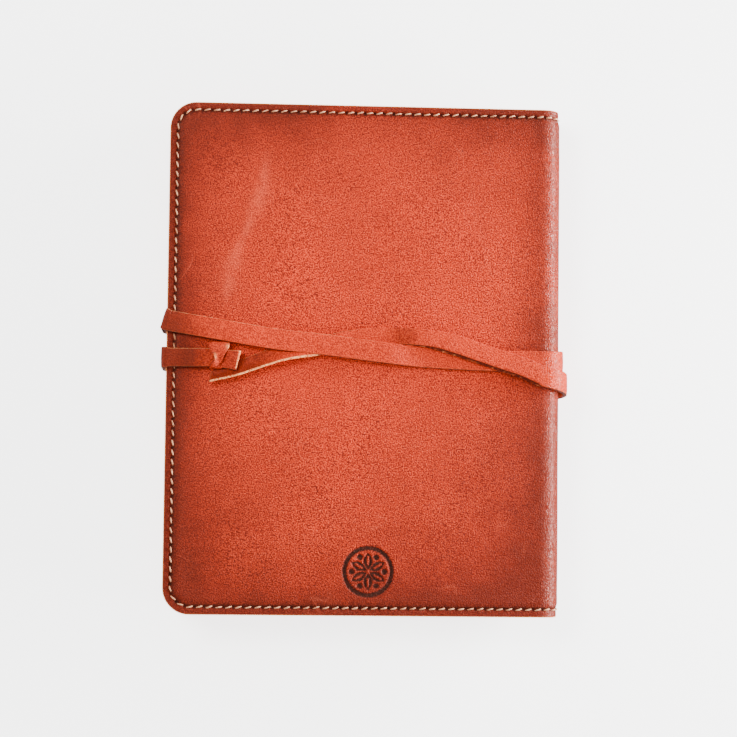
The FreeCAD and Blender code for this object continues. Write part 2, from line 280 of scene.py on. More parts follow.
def marked_face(tree, found, colour):
    """The dyed face with its pale veins and pulled streaks, its raw cut edges, the dark of pressed marks,
    and painted shade in needle holes, along the seam, on the strap's lower cut sides and in the knot's
    gaps. Gives the colour."""
    from_vein = add(tree, "Math", {0: found["vein"], 1: 0.5}, operation="SUBTRACT")
    from_vein = add(tree, "Math", {0: from_vein}, operation="ABSOLUTE")
    line = add(tree, "MapRange", {0: from_vein, 1: 0.010, 2: 0.0}, **SMOOTH)
    seen = add(tree, "MapRange", {0: found["patch"], 1: 0.52, 2: 0.66, 4: 0.10}, **SMOOTH)
    line = add(tree, "Math", {0: line, 1: seen}, operation="MULTIPLY")
    uneven = add(tree, "MapRange", {0: found["blotch"], 1: 0.3, 2: 0.6, 3: 0.06, 4: 0.18}, **SMOOTH)
    pulled = add(tree, "Math", {0: found["streak"], 1: uneven}, operation="MULTIPLY")
    pale = add(tree, "Math", {0: line, 1: pulled}, operation="MAXIMUM")
    colour = add(tree, "Mix", {0: pale, 6: colour, 7: to_linear("#FF6A48")}, **COLOURS)
    fibres = add(tree, "MapRange", {0: found["pore"], 1: 0.38, 2: 0.66}, **SMOOTH)
    cut = add(tree, "Mix", {0: fibres, 6: to_linear("#FFB070"), 7: to_linear("#C04C22")}, **COLOURS)
    colour = add(tree, "Mix", {0: found["raw"], 6: colour, 7: cut}, **COLOURS)
    # near black for the pressed mark, and for painted shade in needle holes, along the seam, on the strap's
    # lower cut sides and in the knot's gaps
    dark_speckle = add(tree, "MapRange", {0: found["pore"], 1: 0.35, 2: 0.7}, **SMOOTH)
    scorch_and_shade = add(tree, "Mix", {0: dark_speckle, 6: to_linear("#1E0A06"), 7: to_linear("#3C130B")}, **COLOURS)
    return add(tree, "Mix", {0: found["pressed"], 6: colour, 7: scorch_and_shade}, **COLOURS)


def pull_up_leather(name, light, dark, pit, top, grain, gloss):
    """Drum-dyed full-grain pull-up leather, oiled and waxed. It burnishes dark towards its handled edges,
    takes painted shade in the same way, and pales where it is pulled, and the wax gives a soft sheen.
    The grain is drawn about 1 mm across, a little coarse, so that it shows."""
    material, tree, shader = new_material(name)
    found = hide_texture(tree)
    colour = marked_face(tree, found, dyed_face(tree, found, light, dark, pit, top, grain))
    tree.links.new(colour, shader.inputs["Base Color"])
    rough = add(tree, "Math", {0: found["blotch"], 1: 0.22, 2: gloss}, operation="MULTIPLY_ADD")
    rough = add(tree, "Math", {0: found["polish"], 1: -0.27, 2: rough}, operation="MULTIPLY_ADD")
    rough = add(tree, "Math", {0: found["raw"], 1: 0.35, 2: rough}, operation="MULTIPLY_ADD")
    tree.links.new(rough, shader.inputs["Roughness"])
    for socket, value in (("IOR", 1.45), ("Specular IOR Level", 0.25),
                          ("Specular Tint", to_linear("#FFC2AE")), ("Sheen Weight", 0.06),
                          ("Sheen Roughness", 0.4), ("Sheen Tint", to_linear("#FF9C7C"))):
        shader.inputs[socket].default_value = value
    rounded = add(tree, "MapRange", {0: found["crease"], 1: 0.0, 2: 0.3}, **SMOOTH)
    height = add(tree, "Math", {0: found["pore"], 1: 0.5, 2: rounded}, operation="MULTIPLY_ADD")
    fine = add(tree, "Bump", {"Strength": 1.0, "Distance": 0.11 * MM, "Height": height})
    broad = add(tree, "Bump", {"Strength": 0.5, "Distance": 0.25 * MM, "Height": found["blotch"],
                               "Normal": fine})
    tree.links.new(broad, shader.inputs["Normal"])
    return material


def natural_leather(name, light, dark):
    """Undyed vegetable-tanned leather, split and rolled smooth: matt, with fine fibres and pale clouds."""
    material, tree, shader = new_material(name)
    place = add(tree, "TexCoord", output="Object")
    cloud = add(tree, "TexNoise", {"Vector": place, "Scale": 1 / (22 * MM), "Detail": 5.0})
    nap = add(tree, "TexNoise", {"Vector": place, "Scale": 1 / (0.5 * MM), "Detail": 4.0, "Roughness": 0.7})
    share = add(tree, "Math", {0: cloud, 1: 0.6}, operation="MULTIPLY")
    share = add(tree, "Math", {0: nap, 1: 0.45, 2: share}, operation="MULTIPLY_ADD")
    darkened = add(tree, "Attribute", output="Fac", attribute_name="burnish_and_painted_shade")
    darkened = add(tree, "Math", {0: darkened, 1: 0.4}, operation="MULTIPLY")
    share = add(tree, "Math", {0: share, 1: darkened}, operation="ADD")
    share = add(tree, "MapRange", {0: share, 1: 0.3, 2: 0.85}, **SMOOTH)
    colour = add(tree, "Mix", {0: share, 6: to_linear(light), 7: to_linear(dark)}, **COLOURS)
    shader.inputs["IOR"].default_value = 1.45
    set_surface(tree, shader, colour, 0.72, nap, 0.4, 0.12)
    return material


def waxed_linen_thread():
    """Waxed linen thread of twisted plies: a dull waxy shine, darker between the plies and where it is
    worn. The plies follow the piece's own map, which has the distance along each stitch in it."""
    material, tree, shader = new_material("waxed_linen_thread")
    along = add(tree, "TexCoord", output="UV")
    ply = add(tree, "TexWave", {"Vector": along, "Scale": 1.6, "Distortion": 0.4, "Detail": 1.0},
              output="Fac", wave_type="BANDS", bands_direction="DIAGONAL")
    place = add(tree, "TexCoord", output="Object")
    wear = add(tree, "TexNoise", {"Vector": place, "Scale": 1 / (9 * MM), "Detail": 3.0})
    twist = add(tree, "MapRange", {0: ply, 1: 0.1, 2: 0.8}, **SMOOTH)
    colour = add(tree, "Mix", {0: twist, 6: to_linear("#A0603C"), 7: to_linear("#E2A57A")}, **COLOURS)
    wear = add(tree, "MapRange", {0: wear, 1: 0.42, 2: 0.7, 4: 0.55}, **SMOOTH)
    colour = add(tree, "Mix", {0: wear, 6: colour, 7: to_linear("#8E4A28")}, **COLOURS)
    set_surface(tree, shader, colour, 0.55, ply, 0.6, 0.1)
    return material


def kraft_card():
    """Unbleached kraft card, pressed from pulp: matt brown with long darker and paler fibres."""
    material, tree, shader = new_material("kraft_card")
    place = add(tree, "TexCoord", output="Object")
    stretched = add(tree, "Mapping", {"Vector": place, "Scale": (1.0, 0.22, 1.0)})
    fibre = add(tree, "TexNoise", {"Vector": stretched, "Scale": 1 / (0.5 * MM), "Detail": 4.0,
                                   "Roughness": 0.75})
    share = add(tree, "MapRange", {0: fibre, 1: 0.35, 2: 0.7}, **SMOOTH)
    colour = add(tree, "Mix", {0: share, 6: to_linear("#B8946A"), 7: to_linear("#8A6741")}, **COLOURS)
    set_surface(tree, shader, colour, 0.85, fibre, 0.3, 0.05)
    return material


def book_paper():
    """Uncoated cream book paper, guillotined: matt, and the cut edges show the separate leaves."""
    material, tree, shader = new_material("uncoated_book_paper")
    place = add(tree, "TexCoord", output="Object")
    pulp = add(tree, "TexNoise", {"Vector": place, "Scale": 1 / (0.8 * MM), "Detail": 5.0, "Roughness": 0.7})
    thin = add(tree, "Mapping", {"Vector": place, "Scale": (1.0, 1.0, 30.0)})
    leaves = add(tree, "TexNoise", {"Vector": thin, "Scale": 1 / (5.0 * MM), "Detail": 3.0})
    share = add(tree, "MapRange", {0: pulp, 1: 0.3, 2: 0.7}, **SMOOTH)
    colour = add(tree, "Mix", {0: share, 6: to_linear("#F1E8D4"), 7: to_linear("#ECE2CB")}, **COLOURS)
    gaps = add(tree, "MapRange", {0: leaves, 1: 0.35, 2: 0.65, 4: 0.5}, **SMOOTH)
    cut = add(tree, "Attribute", output="Fac", attribute_name="raw")
    shade = add(tree, "Math", {0: cut, 1: gaps}, operation="MULTIPLY")
    colour = add(tree, "Mix", {0: shade, 6: colour, 7: to_linear("#B9A583")}, **COLOURS)
    set_surface(tree, shader, colour, 0.9, pulp, 0.2, 0.03)
    return material


def woven_book_cloth():
    """Starched cotton book cloth in a plain weave, dark and matt. Its threads are drawn 3.14 mm apart,
    several times coarser than real ones. A wave node repeats every 2 pi / 20 of its scaled units."""
    material, tree, shader = new_material("woven_book_cloth")
    place = add(tree, "TexCoord", output="Object")
    pitch = math.pi * MM
    weft, warp = [add(tree, "TexWave", {"Vector": place, "Scale": 2 * math.pi / 20 / pitch}, output="Fac",
                      bands_direction=direction) for direction in "YZ"]
    weave = add(tree, "Math", {0: weft, 1: warp}, operation="MAXIMUM")
    colour = add(tree, "Mix", {0: weave, 6: to_linear("#2B1C15"), 7: to_linear("#4A3226")}, **COLOURS)
    set_surface(tree, shader, colour, 0.8, weave, 0.5, 0.1)
    return material


# ---- the flat plan of a cover layer -------------------------------------------------------------

class Outline:
    """A sheet with two rounded corners at the fore-edge, followed along head, fore-edge and tail.

    A place on its rim is an anchor point plus a direction outwards; the raw edge is `radius` away
    from the anchor, so a point at inset d lies radius - d out along the direction.
    """

    def __init__(self, fore_x, half_y, radius, end_x, pitch, seam_inset):
        self.fore_x, self.half_y, self.radius, self.end_x = fore_x, half_y, radius, end_x
        self.corner_x = fore_x + radius
        self.corner_y = half_y - radius
        self.straight = end_x - self.corner_x
        self.turn = (radius - seam_inset) * math.pi / 2
        self.length = 2 * self.straight + 2 * self.turn + 2 * self.corner_y
        self.count = round(self.length / pitch)
        self.pitch = self.length / self.count

    def rim(self, s):
        """Anchor points and outward directions at distances s along the seam from the spine."""
        s = np.asarray(s, float)
        first = self.straight
        second = first + self.turn
        third = second + 2 * self.corner_y
        fourth = third + self.turn
        turned = np.clip((s - first) / self.turn, 0, 1) + np.clip((s - third) / self.turn, 0, 1)
        angle = turned * math.pi / 2
        x = self.corner_x + np.maximum(first - s, 0) + np.maximum(s - fourth, 0)
        y = self.corner_y - np.clip(s - second, 0, 2 * self.corner_y)
        return np.stack([x, y], -1), np.stack([-np.sin(angle), np.cos(angle)], -1)

    def lines(self, step, extra_x=(), extra_y=()):
        """Grid lines that meet the rim at even steps along the seam, with extra ones where needed.
        Lines nearer than 0.22 of a step to the one before are left out."""
        reach = np.arange(0, self.straight, step)
        x = np.concatenate([self.end_x - reach, [self.corner_x], extra_x])
        start = self.straight + self.turn
        along = np.arange(math.ceil(start / step) * step, start + 2 * self.corner_y, step)
        y = np.concatenate([self.corner_y - (along - start), [-self.corner_y, self.corner_y], extra_y])
        nearest = 0.22 * step
        return thin_out(x, nearest), thin_out(y, nearest)

    def stations(self, x_lines, y_lines, arc_steps):
        """Distances along the seam at which the rim is drawn."""
        start = self.straight + self.turn
        past = start + 2 * self.corner_y
        arc = np.linspace(0, self.turn, arc_steps + 1)[1:-1]
        head = self.end_x - x_lines[::-1]
        side = start + self.corner_y - y_lines[::-1]
        tail = past + self.turn + x_lines - self.corner_x
        return np.concatenate([head, self.straight + arc, side, past + arc, tail])


def thin_out(values, least):
    """Sorted values with those dropped that lie too close after another, keeping both ends."""
    values = np.unique(np.round(values, 4))
    keep = np.concatenate([[True], np.diff(values) > least])
    keep[-1] = True
    if values[-1] - values[keep][-2] < least:
        keep[np.flatnonzero(keep)[-2]] = False
    return values[keep]


def round_spine(x, y, depth, back):
    """Lays a flat layer round the spine: straight up to the fold, then a quarter circle whose radius
    is the spine's less the depth below the outer face, then straight to the spine's middle."""
    angle = np.clip((x - FOLD_X) / BEND_R, 0, math.pi / 2)
    over = np.maximum(x - FOLD_X - BEND_R * math.pi / 2, 0)
    radius = SPINE_R - depth
    px = np.minimum(x, FOLD_X) + radius * np.sin(angle)
    drop = depth + radius * (1 - np.cos(angle)) + over
    pz = TOP_Z - drop if back else BASE_Z + drop
    return np.stack(np.broadcast_arrays(px, y, pz), -1)


def layer(name, outline, x_lines, y_lines, profile, relief, values, place, material, arc_steps=14):
    """A closed sheet: a rim carried round three sides with the given cross-section, a grid for the
    face, wide strips for the hidden back, and a flat end towards the spine.

    profile rows are (inset, depth, share): share says how far the face's relief moves that point.
    """
    inset, depth, share = np.array(profile, float).T
    s = outline.stations(x_lines, y_lines, arc_steps)
    anchor, out = outline.rim(s)
    flat = anchor[:, None, :] + out[:, None, :] * (outline.radius - inset)[None, :, None]
    seam = np.broadcast_to(s[:, None], flat.shape[:2])
    d = np.broadcast_to(inset[None, :], flat.shape[:2])
    q = depth + relief(flat[..., 0], flat[..., 1], d, seam) * share
    rim_points = place(flat[..., 0], flat[..., 1], q)

    gx, gy = np.meshgrid(x_lines, y_lines, indexing="ij")
    gd = np.minimum(gx - outline.fore_x, outline.half_y - np.abs(gy))
    gs = np.zeros_like(gx)
    face_points = place(gx, gy, depth[0] + relief(gx, gy, gd, gs) * share[0])

    rows, columns = flat.shape[:2]
    faces = grid_faces(rows, columns)
    first = rows * columns
    faces += grid_faces(len(x_lines), len(y_lines), first)

    back = np.arange(rows) * columns + columns - 1
    head = back[:len(x_lines)][::-1]
    tail = back[-len(x_lines):]
    strips = np.stack([head[1:-1], head[2:], tail[2:], tail[1:-1]], -1).tolist()
    side = back[len(x_lines) - 1:rows - len(x_lines) + 1]
    faces += strips + [side.tolist() + [int(tail[1]), int(head[1])]]
    last_row = first + (len(x_lines) - 1) * len(y_lines) + np.arange(len(y_lines))
    end = np.concatenate([np.arange(columns) + (rows - 1) * columns, np.arange(columns)[::-1],
                          last_row[::-1][1:-1]])
    faces.append(end.tolist())

    shown = {}
    for key, rule in values.items():
        on_rim = rule(flat[..., 0], flat[..., 1], d, seam, share[None, :])
        on_face = rule(gx, gy, gd, gs, np.ones((1, 1)))
        shown[key] = np.concatenate([np.broadcast_to(on_rim, flat.shape[:2]).ravel(),
                                     np.broadcast_to(on_face, gx.shape).ravel()])
    points = np.concatenate([rim_points.reshape(-1, 3), face_points.reshape(-1, 3)])
    return make_piece(name, points, faces, material, shown, flat_faces=1)


# ---- outer hide ---------------------------------------------------------------------------------

cover = Outline(FORE_X, HALF_Y, CORNER_R, END_X, STITCH_PITCH, STITCH_INSET)


def mark_mask(x, y):
    """1 inside the pressed rosette: a ring, six petals whose half width is a half sine of the distance
    from the middle, each with a bare rib, and six dots between them."""
    dx, dy = x - MARK_X, y - MARK_Y
    r = np.hypot(dx, dy)
    soft = 0.22
    ring = ramp(r, MARK_RING_R - soft, MARK_RING_R + soft) * ramp(r, MARK_R + soft, MARK_R - soft)
    angle = np.mod(np.arctan2(dy, dx), math.pi / 3) - math.pi / 6
    u, v = r * np.cos(angle), r * np.sin(angle)
    half_wide = 2.0 * np.sin(math.pi * np.clip((u - 0.6) / 8.0, 0, 1))
    petal = ramp(np.abs(v), half_wide + soft, half_wide - soft) * (half_wide > 0.05)
    rib = 1 - ramp(np.abs(v), 0.62, 0.30) * ramp(r, 2.6, 3.2) * ramp(r, 7.2, 6.6)
    beside = math.pi / 6 - np.abs(angle)
    dot = ramp(np.hypot(r * np.cos(beside) - 7.3, r * np.sin(beside)), 1.35 + soft, 1.35 - soft)
    return np.clip(np.maximum(np.maximum(ring, petal * rib), dot), 0, 1)


def needle_hole(d, s):
    """1 at the middle of each needle hole along the seam."""
    off = s / cover.pitch
    off = (off - np.round(off)) * cover.pitch
    return np.exp(-(off / 0.75) ** 4) * bump(d, STITCH_INSET - 0.05, 0.62) * (d < CORNER_R - 1)


def hide_relief(x, y, d, s, marked):
    """How far the face lies below its highest level: a sunken seam margin, a groove and needle holes
    under the stitches, a slow roll over the middle, and the pressed mark."""
    margin = 0.50 * ramp(d, 6.6, 3.9)
    groove = 0.30 * bump(d, STITCH_INSET, 0.6)
    holes = 0.55 * needle_hole(d, s)
    pillow = 0.20 * np.exp(-np.maximum(d - 4, 0) / 9)
    roll = 0.13 * (1 + soft_waves(x, y, 90, 35, 9, 3)) * ramp(d, 4, 12)
    total = margin + groove + holes + pillow + np.maximum(roll, 0)
    if marked:
        total = total + 0.34 * mark_mask(x, y)
    return total


def burnish_and_painted_shade(x, y, d, s, share):
    """Darkening: burnish from handling at the edges, and painted shade towards the tail, over the lower
    spine side and by the spine, where it evens out the spine lamp's light; it is also darker just inside the
    stitches. Each side keeps a share of the colour that grows with the distance from it, by 1 less a times
    e to the power -(distance / reach)^p, fast past the stitches and then slowly. The shares multiply, so
    corners are the darkest."""
    left = np.maximum(x - FORE_X, 0)
    right = np.maximum(FOLD_X + SPINE_R - x, 0)
    head = np.maximum(HALF_Y - y, 0)
    tail = np.maximum(HALF_Y + y, 0)
    from_seam = np.maximum(d - 4, 0)
    # painted shade: darker over the lower spine side and towards the tail
    kept = 1 - 0.24 * ramp(x, 10, 80) * ramp(y, 15, -55)
    kept = kept * (1 - 0.30 * np.exp(-(tail / 26) ** 1.3) - 0.45 * np.exp(-(tail / 75) ** 1.5))
    # burnish at the edges; the spine's term also holds painted shade against the spine lamp's light
    for distance, most, reach, power in ((left, 0.52, 26, 1.3), (left, 0.50, 8.5, 2.0), (left, 0.42, 18, 1.5),
                                         (right, 0.64, 22.5, 2.0), (head, 0.57, 38, 1.5),
                                         (from_seam, 0.40, 3, 1.0)):
        kept = kept * (1 - most * np.exp(-(distance / reach) ** power))
    return np.clip((1 - kept) / 0.8, 0, 1.15)


def pale_streak(x, y, d, s, share):
    """A pale pulled line that wanders down the upper fore-edge side of the back cover."""
    middle = -62.6 + (y - 28) * 0.28 + 1.6 * np.sin(y / 9)
    along = ramp(y, 18, 34) * ramp(y, 96, 80)
    second = bump(x, 50 - (y - 60) * 0.22 + np.sin(y / 6), 0.9) * ramp(y, 20, 40) * ramp(y, 92, 70) * 0.3
    return bump(x, middle, 3.0 + 0.9 * np.sin(y / 5)) * along + second


def handling_polish(x, y, d, s, share):
    """The spine is rubbed shiny where a hand holds the book."""
    return ramp(x, FOLD_X + 0.5, FOLD_X + 3.5)


def seam_shade(x, y, d, s, share):
    """Painted shade: dark needle holes, and a dark line on the inner side of the seam as the shadow of the
    leather that rises beside it.
    """
    inner = 0.62 * bump(d, STITCH_INSET + 0.8, 0.5)
    return np.clip(1.15 * needle_hole(d, s) + inner, 0, 1) * (share > 0.95)


# the hide's cross-section at its rim: close rows on the face, then the rounded edge and the flesh side
hide_profile = [(d, 0.0, 1.0) for d in np.arange(12, 8, -0.35)]
hide_profile += [(d, 0.0, 1.0) for d in (7.5, 6.7, 6.0, 5.4, 4.85, 4.4, 4.0, 3.75, 3.5, 3.25, 3.0, 2.6, 2.0,
                                         1.4, 0.9)]
hide_profile += [(0.45, 0.06, 0.94), (0.2, 0.2, 0.85), (0.06, 0.42, 0.7), (0.0, 0.7, 0.5), (0.0, 1.0, 0.3),
                 (0.02, 1.3, 0.15), (0.08, 1.5, 0.0), (0.25, HIDE, 0.0), (3.0, HIDE, 0.0), (12, HIDE, 0.0)]


def cut_edge(x, y, d, s, share):
    """1 on the raw cut edge of a layer."""
    return np.where((share < 0.9) & (d < 1.0), 1.0, 0.0) * np.ones_like(x)


def outer_hide(name, back, material):
    """One half of the hide, to the spine's middle; the back one has close grid lines at its mark."""
    extra = np.arange(-12.0, 12.01, 0.3) if back else np.array([])
    mark_lines = MARK_Y + extra
    mark_lines = mark_lines[mark_lines > -cover.corner_y]
    x_lines, y_lines = cover.lines(cover.pitch / 4, MARK_X + extra, mark_lines)

    # the pressed mark, and the seam's painted shade
    def pressed(x, y, d, s, share):
        marked = mark_mask(x, y) if back else np.zeros_like(x)
        return np.maximum(marked, seam_shade(x, y, d, s, share)) * (share > 0.5)

    values = {"burnish_and_painted_shade": burnish_and_painted_shade, "raw": cut_edge, "pressed": pressed, "polish": handling_polish}
    if back:
        values["streak"] = pale_streak
    return layer(name, cover, x_lines, y_lines, hide_profile, partial(hide_relief, marked=back), values,
                 partial(round_spine, back=back), material)


# ---- lining and sleeves -------------------------------------------------------------------------

def plain_relief(x, y, d, s):
    return 0 * x


def lining_sheet(name, back, material):
    """The glued lining: its face is turned to the pages, so its depth runs the other way."""
    x_lines, y_lines = cover.lines(cover.pitch)
    face, glued = HIDE + LINING, HIDE
    profile = [(12, face, 0), (8, face, 0), (4, face, 0), (1, face, 0), (0.3, face - 0.03, 0),
               (0.1, face - 0.15, 0), (0.03, face - 0.4, 0), (0.05, face - 0.65, 0), (0.2, glued, 0),
               (3, glued, 0), (12, glued, 0)]

    def darkened(x, y, d, s, share):
        return 0.8 * np.exp(-d / 6) + 0.3 * bump(x, FOLD_X + 6, 10)

    return layer(name, cover, x_lines, y_lines, profile, plain_relief, {"burnish_and_painted_shade": darkened},
                 partial(round_spine, back=back), material)


def sleeve_leaf(name, back, material):
    """The sleeve: 0.9 mm thick over the pocket and full thickness where it is sewn down."""
    leaf = Outline(FORE_X, HALF_Y, CORNER_R, SLEEVE_X, STITCH_PITCH, STITCH_INSET)
    x_lines, y_lines = leaf.lines(leaf.pitch)
    face, pocket, sewn = POCKET_DEPTH + SLEEVE, POCKET_DEPTH, HIDE + LINING
    profile = [(12, face, 1), (8, face, 1), (5.4, face, 1), (4.4, face, 1), (3.5, face, 1), (2.6, face, 1),
               (1, face, 0.5), (0.3, face - 0.05, 0), (0.08, face - 0.3, 0), (0.0, face - 0.8, 0),
               (0.1, sewn + 0.2, 0), (0.25, sewn, 0), (4.1, sewn, 0), (4.2, pocket - 0.1, 0),
               (4.4, pocket, 0), (12, pocket, 0)]

    def seam_groove(x, y, d, s):
        return -0.25 * bump(d, STITCH_INSET, 0.8)

    def darkened(x, y, d, s, share):
        return 0.7 * np.exp(-d / 7) + 0.5 * ramp(x, SLEEVE_X - 5, SLEEVE_X)

    return layer(name, leaf, x_lines, y_lines, profile, seam_groove, {"burnish_and_painted_shade": darkened},
                 partial(round_spine, back=back), material)


# ---- stitches -----------------------------------------------------------------------------------

def stitches(name, depth, outward, back, material, seed, steps=9, around=8):
    """Every stitch is a short tube along the seam. It leans a little, rises from one needle hole and
    dives into the next: its height is a half sine, and its radius shrinks towards the holes. outward is
    1 for the thread outside the cover and -1 for the one inside."""
    draw = np.random.default_rng(seed)
    number = np.arange(cover.count)[:, None, None]
    t = np.linspace(0, 1, steps)[None, :, None]
    phi = (np.arange(around) * 2 * math.pi / around)[None, None, :]
    start = number * cover.pitch + STITCH_END
    s = start + t * (cover.pitch - 2 * STITCH_END)
    lean = draw.normal(0.40, 0.06, (cover.count, 1, 1))
    wander = draw.normal(0, 0.05, (cover.count, 1, 1))
    radius = THREAD_R * (0.60 + 0.55 * np.sin(math.pi * t) ** 0.7)
    rise = 0.95 * np.sin(math.pi * t) ** 0.5 - 0.72
    inset = STITCH_INSET + wander + lean * (t - 0.5) * 2 + radius * np.cos(phi)
    height = rise + radius * np.sin(phi)
    anchor, out = cover.rim(np.broadcast_to(s, inset.shape))
    flat = anchor + out * (CORNER_R - inset)[..., None]
    q = depth - outward * height
    points = round_spine(flat[..., 0], flat[..., 1], q, back)
    ring = np.array(tube_faces(steps, around))
    index = (np.arange(cover.count) * steps * around)[:, None, None]
    faces = (ring[None] + index).reshape(-1, 4).tolist()
    caps = np.stack([np.arange(around)[::-1], (steps - 1) * around + np.arange(around)])
    faces += (caps[None] + index).reshape(-1, around).tolist()
    piece = make_piece(name, points, faces, material, merge=False)
    mesh = piece.data
    along = np.broadcast_to(s - start, inset.shape).ravel()
    turn = np.broadcast_to(phi / (2 * math.pi), inset.shape).ravel()
    corner = np.zeros(len(mesh.loops), np.int32)
    mesh.loops.foreach_get("vertex_index", corner)
    uv = mesh.uv_layers.new(name="ply")
    uv.data.foreach_set("uv", np.stack([along[corner], turn[corner]], -1).astype(np.float32).ravel())
    face_outwards(mesh, False)
    return piece


# ---- notebook refill ----------------------------------------------------------------------------

def paper_section(name, number, back, material):
    """A folded bundle of leaves: its cut edges step in and out leaf by leaf, and its two faces draw
    together round the fold on a half circle."""
    thick = section_high[2] - section_low[2]
    low = section_low[2] + (number - 1) * thick
    mid = low + thick / 2
    sheet = Outline(section_low[0], section_high[1], PAGE_CORNER, section_high[0], PAGE_LINES, 0.0)
    fold_lines = section_high[0] - np.array([1.0, 0.85, 0.6, 0.35, 0.15, 0.05])
    x_lines, y_lines = sheet.lines(PAGE_LINES, fold_lines)
    draw = np.random.default_rng(40 + number + 10 * back)
    step = 0.05 + 0.09 * (np.arange(LEAF_ROWS) % 2) + draw.uniform(0, 0.12, LEAF_ROWS)
    profile = [(PAGE_CORNER, 0.0, 1), (2, 0.0, 1), (0.5, 0.0, 1)]
    profile += [(inset, thick * share, 0) for inset, share in zip(step, np.linspace(0, 1, LEAF_ROWS))]
    profile += [(0.5, thick, 0), (2, thick, 0), (PAGE_CORNER, thick, 0)]

    def place(x, y, q):
        fold = np.sqrt(1 - np.clip((x - (section_high[0] - thick / 2)) / (thick / 2), 0, 0.995) ** 2)
        z = mid + (q - thick / 2) * fold
        z = z if not back else 2 * MIDDLE_Z - z
        return np.stack(np.broadcast_arrays(x, y, z), -1)

    def cut(x, y, d, s, share):
        return np.where(share < 0.5, 1.0, 0.0) * np.ones_like(x)

    return layer(name, sheet, x_lines, y_lines, profile, plain_relief, {"raw": cut}, place, material,
                 arc_steps=6)


def binding_tape(material):
    """One strip of cloth, carried as a rounded C section along the folds of all the sections: half the
    C is a flat, a quarter circle and a flat, and the other half is its mirror image."""
    low, high = box_mm("binding_tape_front")
    outer_x = high[0]
    corner_x = outer_x - TAPE_CORNER
    turn = np.linspace(0, math.pi / 2, 6)
    upright = np.linspace(low[2] + TAPE_CORNER, MIDDLE_Z, 8)[1:]
    x = np.concatenate([np.linspace(low[0], corner_x, 6)[:-1], corner_x + TAPE_CORNER * np.sin(turn),
                        np.full(7, outer_x)])
    z = np.concatenate([np.full(5, low[2]), low[2] + TAPE_CORNER - TAPE_CORNER * np.cos(turn), upright])
    path = np.stack([np.concatenate([x, x[::-1][1:]]), np.concatenate([z, 2 * MIDDLE_Z - z[::-1][1:]])], -1)
    along = unit(np.gradient(path, axis=0))
    normal = np.stack([-along[:, 1], along[:, 0]], -1)
    loop = np.concatenate([path, (path + normal * TAPE)[::-1]])
    rows, around, half = 46, len(loop), len(path)
    y = np.linspace(low[1], high[1], rows)[:, None]
    points = np.stack(np.broadcast_arrays(loop[None, :, 0], y, loop[None, :, 1]), -1)
    step = np.arange(half - 1)
    strip = np.stack([step, step + 1, 2 * half - 2 - step, 2 * half - 1 - step], -1)
    faces = tube_faces(rows, around) + strip.tolist() + (strip[:, ::-1] + (rows - 1) * around).tolist()
    return make_piece("spine_tape", points, faces, material)


# ---- strap --------------------------------------------------------------------------------------

LOW = TOP_Z + STRAP_GAP + STRAP_T / 2       # the middle of a strand that lies on the back cover
UNDER_LOW = STRAP_T / 2
HALF_W = (FOLD_X + SPINE_R - FORE_X) / 2
MID_X = (FOLD_X + SPINE_R + FORE_X) / 2
BEND = INSIDE_BEND + STRAP_T / 2
FORE_BEND_X = FORE_X - FORE_GAP + INSIDE_BEND


def across(share):
    """A place between the fore-edge (-1) and the spine (+1)."""
    return MID_X + share * HALF_W


def curve_through(points, count):
    """A smooth line through the points: the Catmull-Rom cubic on each stretch, evenly respaced."""
    p = np.array(points, float)
    p = np.concatenate([[2 * p[0] - p[1]], p, [2 * p[-1] - p[-2]]])
    t = np.linspace(0, 1, 24, endpoint=False)[None, :, None]
    a, b, c, d = p[:-3, None], p[1:-2, None], p[2:-1, None], p[3:, None]
    square, cube = 2 * a - 5 * b + 4 * c - d, 3 * b - a - 3 * c + d
    line = 0.5 * (2 * b + (c - a) * t + square * t ** 2 + cube * t ** 3)
    line = np.concatenate([line.reshape(-1, p.shape[1]), p[-2][None]])
    reach = np.concatenate([[0], np.cumsum(np.linalg.norm(np.diff(line, axis=0), axis=1))])
    even = np.linspace(0, reach[-1], count)
    return np.stack([np.interp(even, reach, line[:, k]) for k in range(p.shape[1])], -1)


def flat_strand(points, level, up, count):
    """Stations of a strand that lies on the cover or on the table: place and outward direction."""
    line = curve_through([(across(share), y) for share, y in points], count)
    z = level(line[:, 0])
    return np.column_stack([line, z]), np.tile([0.0, 0.0, up], (count, 1))


def turned_strand(x, z, radius, start, end, y_start, y_end, count, yaw=0.0):
    """Stations round an arc from one angle to another; the arc's plane is the X-Z plane, or turned
    from it by the yaw where the strap crosses the edge slantwise."""
    share = np.linspace(0, 1, count)
    angle = np.radians(start + (end - start) * share)
    yaw = math.radians(yaw)
    out = np.column_stack([np.cos(angle) * math.cos(yaw), -np.cos(angle) * math.sin(yaw), np.sin(angle)])
    place = np.array([x, 0, z]) + out * radius
    place[:, 1] += y_start + (y_end - y_start) * share
    return place, out


